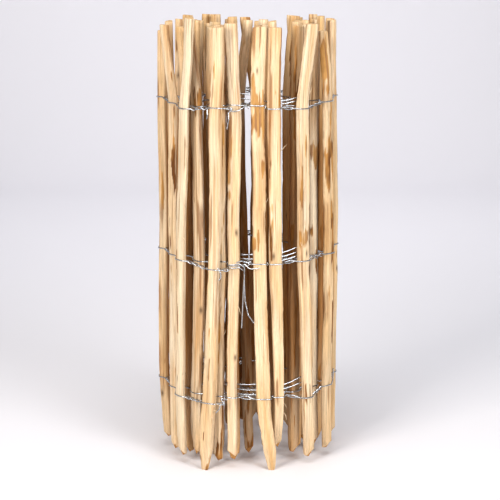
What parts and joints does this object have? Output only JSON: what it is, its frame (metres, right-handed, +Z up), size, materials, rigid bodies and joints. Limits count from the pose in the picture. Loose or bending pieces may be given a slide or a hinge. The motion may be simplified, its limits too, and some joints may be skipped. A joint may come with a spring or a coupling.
{
  "type": "rolled split hazel screening fence",
  "caption": "Roll of screening fence standing on end: split hazel stakes held side by side by rows of paired galvanised wires that cross between the stakes.",
  "frame": {"origin": "middle of the footprint's bounding box, on the ground", "axes": "+Z up along the stakes, -Y towards the side with the fence's outer end"},
  "size_m": [0.4244, 0.4262, 1.0131],
  "materials": {
    "split_hazel": "split, unplaned, dry",
    "galvanised_wire": "dull zinc coat"
  },
  "bodies": {
    "root": {"bottom_wire_a": "galvanised_wire", "bottom_wire_b": "galvanised_wire", "middle_wire_a": "galvanised_wire", "middle_wire_b": "galvanised_wire", "stake_01": "split_hazel", "stake_02": "split_hazel", "stake_03": "split_hazel", "stake_04": "split_hazel", "stake_05": "split_hazel", "stake_06": "split_hazel", "stake_07": "split_hazel", "stake_08": "split_hazel", "stake_09": "split_hazel", "stake_10": "split_hazel", "stake_11": "split_hazel", "stake_12": "split_hazel", "stake_13": "split_hazel", "stake_14": "split_hazel", "stake_15": "split_hazel", "stake_16": "split_hazel", "stake_17": "split_hazel", "stake_18": "split_hazel", "stake_19": "split_hazel", "stake_20": "split_hazel", "stake_21": "split_hazel", "stake_22": "split_hazel", "stake_23": "split_hazel", "stake_24": "split_hazel", "stake_25": "split_hazel", "stake_26": "split_hazel", "stake_27": "split_hazel", "stake_28": "split_hazel", "stake_29": "split_hazel", "stake_30": "split_hazel", "stake_31": "split_hazel", "stake_32": "split_hazel", "stake_33": "split_hazel", "stake_34": "split_hazel", "stake_35": "split_hazel", "stake_36": "split_hazel", "stake_37": "split_hazel", "stake_38": "split_hazel", "stake_39": "split_hazel", "stake_40": "split_hazel", "stake_41": "split_hazel", "stake_42": "split_hazel", "stake_43": "split_hazel", "stake_44": "split_hazel", "stake_45": "split_hazel", "stake_46": "split_hazel", "stake_47": "split_hazel", "top_wire_a": "galvanised_wire", "top_wire_b": "galvanised_wire"}
  },
  "joints": []
}
